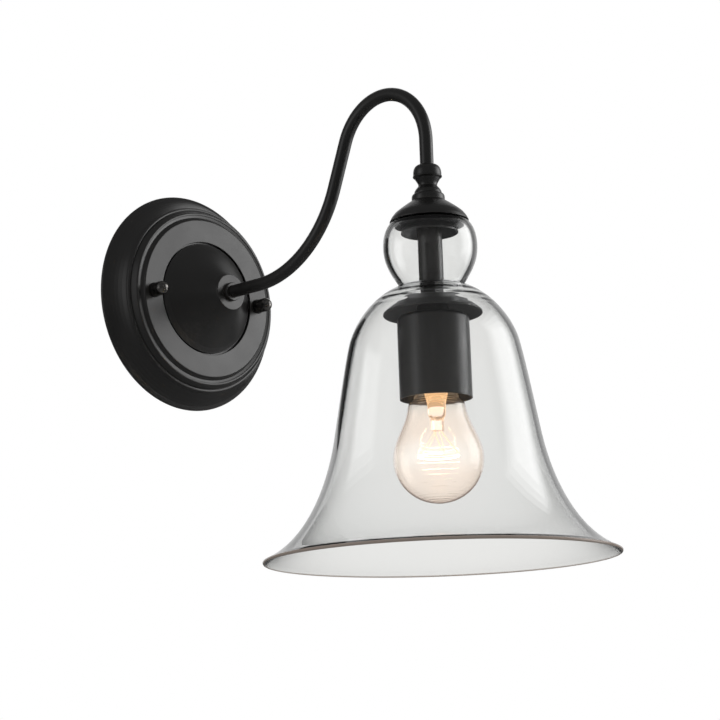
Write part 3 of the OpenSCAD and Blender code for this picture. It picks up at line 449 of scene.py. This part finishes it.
def bulb_glass_material(name, glow, neck):
    """Thin clear glass with a painted glow of the filament's warm light, brightest at the filament's
    height.
    """
    s = Shade(name, Transmission_Weight=1.0, IOR=1.45, Roughness=0.0)
    s.set("Base Color", s.ramp(s.noise(40, 2), (0.3, colour(255, 251, 246)), (0.8, colour(255, 253, 250))))
    # Painted glow: emission stands in for the filament's light caught in the glass, peach with a pale band
    # at the filament's height, fading towards the neck.
    height = s.along("height", bulb_low, bulb_low + BULB_SHOWN_H)
    peach = (0.54, 0.38, 0.29)
    white = (0.64, 0.6, 0.56)
    top = ((0.56, scaled(peach, 0.95)), (0.72, scaled(peach, 0.85)), (0.84, neck))
    even = s.ramp(height, (0.0, scaled(peach, 0.8)), (0.45, peach), *top[1:])
    filament_glow_band = s.ramp(height, (0.0, scaled(peach, 0.85)), (0.27, peach), (0.36, white), (0.45, white), *top)
    facing = s.node("ShaderNodeLayerWeight").outputs["Facing"]
    s.set("Emission Color", s.mix(s.ramp(facing, (0.12, 0.0), (0.42, 1.0)), filament_glow_band, even))
    s.surface.inputs["Emission Strength"].default_value = glow
    let_light_through(s, (1.0, 0.98, 0.95))
    return s.material


def glowing(name, tone, strength):
    """Glowing wire, a little uneven along its length: the lamp itself for the filament, a painted glow on
    the leads and supports.
    """
    s = Shade(name)
    s.set("Base Color", s.ramp(s.noise(800, 2), (0.3, colour(200, 160, 120)), (0.7, colour(240, 200, 160))))
    s.set("Emission Color", s.ramp(s.noise(500, 1), (0.3, scaled(tone, 0.9)), (0.7, tone)))
    s.surface.inputs["Emission Strength"].default_value = strength
    return s.material


black = satin_black()
nut_black = gloss_black()
zinc = steel("zinc", colour(176, 178, 180))
brass = steel("brass", colour(206, 168, 96), 0.28)
bronze = steel("spring_bronze", colour(190, 130, 84), 0.3)
nickel = steel("nickel", colour(205, 203, 198), 0.25)
solder = steel("solder", colour(196, 196, 196), 0.4)
nylon = plastic("white_nylon", colour(228, 226, 216))
washer_nylon = plastic("black_nylon", colour(28, 28, 28))
rubber = plastic("black_rubber", colour(24, 24, 24), 0.7)
black_vitrite = plastic("black_vitrite", colour(14, 14, 15), 0.15, 500)
brown_jacket = wire_jacket("brown_jacket", colour(92, 56, 34))
blue_jacket = wire_jacket("blue_jacket", colour(52, 92, 150))
earth_jacket = wire_jacket("earth_jacket", colour(90, 140, 50), colour(226, 204, 50))
ceramic = glazed_ceramic()
shade_glass = clear_glass()
# The bulb's glass and its stem glow with painted light from the filament.
bulb_clear = bulb_glass_material("bulb_clear", 0.13, (0.03, 0.02, 0.01))
stem_glass = bulb_glass_material("stem_glass", 0.34, (1.0, 0.6, 0.3))
# The leads and supports get a painted glow: they are no lamp, and their emission stands in for the
# filament's light on them.
wire_painted_glow = glowing("wire_painted_glow", (1.0, 0.84, 0.62), 0.9)
filament_light = glowing("filament_light", (1.0, 0.72, 0.42), 24.0)

# Every CAD node gets its finish; some are then replaced by finer pieces below

finishes = {
    black: ("canopy", "arm_cone", "arm_collar", "arm_tube", "coupling_bead", "coupling_bell", "shade_cap",
            "clamp_cone", "stem_sleeve", "sleeve_nut", "shade_dish", "socket_cup"),
    nut_black: ("cap_nut_left", "cap_nut_right"),
    washer_nylon: ("cap_washer_left", "cap_washer_right"),
    zinc: ("wall_bracket", "stud_screws", "stud_lock_nuts", "arm_lock_nut", "earth_tag", "stem_pipe",
           "dish_nut", "holder_bridge", "holder_screws", "terminal_screws", "block_wire_screws",
           "block_fixing_screw"),
    nickel: ("bulb_screw_cap",),
    wire_painted_glow: ("bulb_leads", "bulb_supports"),
    solder: ("bulb_contact",),
    brass: ("earth_screw", "earth_eyelet", "screw_shell", "shell_terminal"),
    bronze: ("centre_spring",),
    nylon: ("terminal_block", "tail_bush"),
    brown_jacket: ("live_wire",),
    blue_jacket: ("neutral_wire",),
    earth_jacket: ("earth_wire",),
    rubber: ("upper_gasket", "lower_gasket"),
    shade_glass: ("glass_shade",),
    ceramic: ("lampholder_body",),
    black_vitrite: ("bulb_insulator",),
    bulb_clear: ("bulb_glass",),
    stem_glass: ("bulb_stem",),
    filament_light: ("bulb_filament",),
}
for material, names in finishes.items():
    for name in names:
        mesh = nodes[name].data
        mesh.materials.clear()
        mesh.materials.append(material)

# The glass shade, spun from one fine curve

GLASS_WALL = 3.0
RIM_WALL = 1.9
# How far from the rim's edge its wall starts to thin
THINNING = 46.0
# How far inside the rim's full radius the curve starts
RIM_INSET = 0.1
# Where the curve passes: rim, waist, ball, the hole at the top, bell and flare
RIM = point(rim_r - RIM_INSET, glass_top - 212.6)
WAIST = point(19.8, glass_top - 43.9)
BALL = point(29.4, glass_top - 19.1)
HOLE = point(14.5, glass_top)
BELL = point(52.4, WAIST.y - 35.3)
FLARE = point(63.7, WAIST.y - 94.7)
# Outward run for each unit of drop, and the lengths of the handles
RIM_SLOPE = 2.5
FLARE_SLOPE = 0.18
BELL_SLOPE = 0.28
RIM_LEAN = 29
FLARE_LOW_LEAN = 29.5
FLARE_TOP_LEAN = 19
BELL_LOW_LEAN = 10.3
BELL_TOP_LEAN = 12
SHOULDER_LEAN = point(18, -6)
NECK_LEAN = point(4, 6.8)
BALL_LOW_LEAN = point(0, -11)
BALL_TOP_LEAN = point(0, 11.5)
HOLE_LEAN = point(10.3, 0)
# The fold inside the waist, an arc between two angles
WAIST_FOLD = (157, 248)
# How far the ground lip bulges for each half of its wall, and how many points it takes the place of
LIP_BULGE = 0.85
LIP_POINTS = 3


def leaning(slope, length):
    return length * point(slope, -1).normalized()


def lip(outer, inner):
    """The rim's ground lip: a half round from the inner face to the outer one, as far out as they are."""
    across = (inner - outer) / 2
    outward = point(-across.y, across.x) * LIP_BULGE
    centre = (inner + outer) / 2 - outward
    half_turn = [math.pi * i / 10 for i in range(11)]
    return [centre + across * math.cos(a) + outward * math.sin(a) for a in half_turn]


def glass_outline():
    """Closed outline of the glass: up its outer face from the lip, and down its inner one."""
    lower = joined(
        curve(RIM, -leaning(RIM_SLOPE, RIM_LEAN), leaning(FLARE_SLOPE, FLARE_LOW_LEAN), FLARE, 48),
        curve(FLARE, -leaning(FLARE_SLOPE, FLARE_TOP_LEAN), leaning(BELL_SLOPE, BELL_LOW_LEAN), BELL, 24),
        curve(BELL, -leaning(BELL_SLOPE, BELL_TOP_LEAN), SHOULDER_LEAN, WAIST, 40),
    )
    upper = joined(
        curve(WAIST, NECK_LEAN, BALL_LOW_LEAN, BALL, 32),
        curve(BALL, BALL_TOP_LEAN, HOLE_LEAN, HOLE, 32),
    )
    walls = [GLASS_WALL - (GLASS_WALL - RIM_WALL) * max(0, 1 - (RIM.x - p.x) / THINNING) for p in lower]
    inner_lower = moved_left(lower, walls)
    inner_upper = moved_left(upper, GLASS_WALL)
    return joined(
        lip(lower[0], inner_lower[0]),
        lower[LIP_POINTS:],
        upper,
        reversed(inner_upper),
        arc(WAIST, GLASS_WALL, *WAIST_FOLD, 10),
        reversed(inner_lower[LIP_POINTS:]),
    )


make_piece("shade_of_glass", *turned(glass_outline(), 256), shade_glass, "clear_glass", "glass_shade", 60)

# The arm, bent from one smooth line

# Where the straight root ends, the first bend's radius and angle, the straight rise, and the hook's radius
ARM_STRAIGHT = 77.7
RISE_BEND = 81.4
RISE_ANGLE = 67.2
RISE_LENGTH = 31.2
HOOK = 37.7
TUBE_R = 4.3
BORE_R = 3.25
TAIL_OUT = -span("arm_tube", Y)[1]
# The tube ends a little above the stem pipe
PIPE_GAP = 0.3
TUBE_END = span("stem_pipe", Z)[1] + PIPE_GAP


def arm_points():
    """The arm's middle line as distance out and height."""
    rise = math.radians(RISE_ANGLE)
    along = point(math.cos(rise), math.sin(rise))
    aside = point(along.y, -along.x)
    root = line(point(TAIL_OUT, 0), point(ARM_STRAIGHT, 0), 8)
    low_bend = arc(point(ARM_STRAIGHT, RISE_BEND), RISE_BEND, -90, RISE_ANGLE - 90, 24)
    straight = line(low_bend[-1], low_bend[-1] + along * RISE_LENGTH, 4)
    hook = arc(straight[-1] + aside * HOOK, HOOK, RISE_ANGLE + 90, 0, 44)
    drop = line(hook[-1], point(hook[-1].x, TUBE_END), 4)
    return joined(root, low_bend, straight, hook, drop)


arm_path = [Vector((0, -p.x, p.y)) * MM for p in arm_points()]
make_piece("arm", *tube_along(arm_path, TUBE_R, BORE_R, 48), black, "satin_black", "arm_tube", 35)

# Stage and lights

# Half the floor's side and its depth under the wall plate's middle, in metres, and its glow when seen
FLOOR_SIZE = 40.0
FLOOR_DROP = 0.55
FLOOR_GLOW = 0.42
# How bright the studio is: as a light, in reflections, through glass, and after one turn inside glass
ROOM_LIGHT = 0.4
MIRRORED_ROOM = 0.1
MIRRORED_FLOOR = colour(166, 166, 166)
MIRRORED_BACKDROP = 0.75
THROUGH_GLASS = 0.89
GLINT_IN_GLASS = 0.18
# Bounces are counted whole, so these stand between counts: past none, and past one wall of glass
ANY_BOUNCE = 0.5
ONE_WALL = 2.5
# The backdrop behind the lamp fades in between these cosines of the angle from the view's middle
BACKDROP_EDGE = 0.7
BACKDROP_FULL = 0.9
# Where the lamps aim, and each nested panel's share of the soft box
LAMP_TARGET = Vector((0, -0.16, -0.05))
PANEL_SHARES = (1.0, 0.84, 0.68, 0.52)
PANEL_GAP = 0.002
# Each soft box: from the target to its middle, its size in metres and its watts
KEY = (Vector((1.14, -0.74, 0.3)), (1.15, 1.6), 6.7)
FILL = (Vector((-1.17, 0.36, 0.2)), (0.8, 1.5), 0.9)


def make_floor():
    """A wide pale floor that takes shadows; it looks paler than it lights, and darker in reflections."""
    mesh = bpy.data.meshes.new("floor")
    signs = ((-1, -1), (1, -1), (1, 1), (-1, 1))
    mesh.from_pydata([(x * FLOOR_SIZE, y * FLOOR_SIZE, -FLOOR_DROP) for x, y in signs], [], [(0, 1, 2, 3)])
    floor = bpy.data.objects.new("floor", mesh)
    bpy.context.scene.collection.objects.link(floor)
    s = Shade("floor", Roughness=0.9, Emission_Color=(1, 1, 0.99, 1))
    paint = s.ramp(s.noise(6, 3), (0.3, colour(188, 188, 186)), (0.7, colour(192, 192, 190)))
    path = s.node("ShaderNodeLightPath").outputs
    mirrored = math_node(s.tree, "GREATER_THAN", path["Glossy Depth"], ANY_BOUNCE)
    s.set("Base Color", s.mix(mirrored, paint, MIRRORED_FLOOR))
    shown = math_node(s.tree, "MAXIMUM", path["Is Camera Ray"], path["Is Transmission Ray"])
    straight = math_node(s.tree, "SUBTRACT", shown, mirrored)
    s.set("Emission Strength", s.ramp(straight, (0.0, 0.0), (1.0, FLOOR_GLOW)))
    mesh.materials.append(s.material)


def make_light(name, away, size, watts):
    """A soft box facing the object, brighter towards its middle: panels of one glow lie in each other."""
    whole = sum(share ** 2 for share in PANEL_SHARES)
    for i, share in enumerate(PANEL_SHARES):
        lamp = bpy.data.lights.new(f"{name}_{i}", "AREA")
        lamp.shape = "RECTANGLE"
        lamp.size, lamp.size_y = size[0] * share, size[1] * share
        lamp.energy = watts * share ** 2 / whole
        light = bpy.data.objects.new(lamp.name, lamp)
        light.location = LAMP_TARGET + away * (1 - PANEL_GAP * i)
        light.rotation_euler = (-away).to_track_quat("-Z", "Y").to_euler()
        bpy.context.scene.collection.objects.link(light)


def make_world():
    """White to the camera, pale grey through glass, a dark studio with a pale backdrop in reflections."""
    world = bpy.data.worlds.new("studio")
    bpy.context.scene.world = world
    world.use_nodes = True
    tree = world.node_tree
    path = tree.nodes.new("ShaderNodeLightPath").outputs

    direction = tree.nodes.new("ShaderNodeTexCoord").outputs["Generated"]
    ahead = tree.nodes.new("ShaderNodeVectorMath")
    ahead.operation = "DOT_PRODUCT"
    ahead.inputs[1].default_value = -CAMERA_BACK
    tree.links.new(direction, ahead.inputs[0])
    backdrop = tree.nodes.new("ShaderNodeMapRange")
    backdrop.inputs["From Min"].default_value = BACKDROP_EDGE
    backdrop.inputs["From Max"].default_value = BACKDROP_FULL
    tree.links.new(ahead.outputs["Value"], backdrop.inputs["Value"])

    transmitted = path["Is Transmission Ray"]
    bounces = math_node(tree, "ADD", path["Glossy Depth"], path["Diffuse Depth"])
    straight = math_node(tree, "LESS_THAN", bounces, ANY_BOUNCE)
    mirrored = math_node(tree, "GREATER_THAN", path["Glossy Depth"], ANY_BOUNCE)
    one_wall = math_node(tree, "LESS_THAN", path["Transmission Depth"], ONE_WALL)
    mirrored_backdrop = math_node(tree, "MULTIPLY", mirrored, backdrop.outputs["Result"])
    in_glass = math_node(tree, "MULTIPLY", math_node(tree, "MULTIPLY", transmitted, mirrored), one_wall)
    through_glass = math_node(tree, "MULTIPLY", transmitted, straight)
    white = (1.0, 1.0, 1.0)
    warm_white = (1.0, 0.995, 0.975)
    # Each view lies over the ones before it
    views = (
        (mirrored, white, MIRRORED_ROOM),
        (mirrored_backdrop, white, MIRRORED_BACKDROP),
        (in_glass, white, GLINT_IN_GLASS),
        (through_glass, warm_white, THROUGH_GLASS),
        (path["Is Camera Ray"], white, 1.0),
    )
    room = tree.nodes["Background"]
    room.inputs["Color"].default_value = (1, 1, 1, 1)
    room.inputs["Strength"].default_value = ROOM_LIGHT
    seen = room.outputs["Background"]
    for amount, tone, strength in views:
        view = tree.nodes.new("ShaderNodeBackground")
        view.inputs["Color"].default_value = (*tone, 1)
        view.inputs["Strength"].default_value = strength
        chosen = tree.nodes.new("ShaderNodeMixShader")
        tree.links.new(amount, chosen.inputs["Fac"])
        tree.links.new(seen, chosen.inputs[1])
        tree.links.new(view.outputs["Background"], chosen.inputs[2])
        seen = chosen.outputs["Shader"]
    tree.links.new(seen, tree.nodes["World Output"].inputs["Surface"])


make_floor()
make_world()
make_light("key", *KEY)
make_light("fill", *FILL)
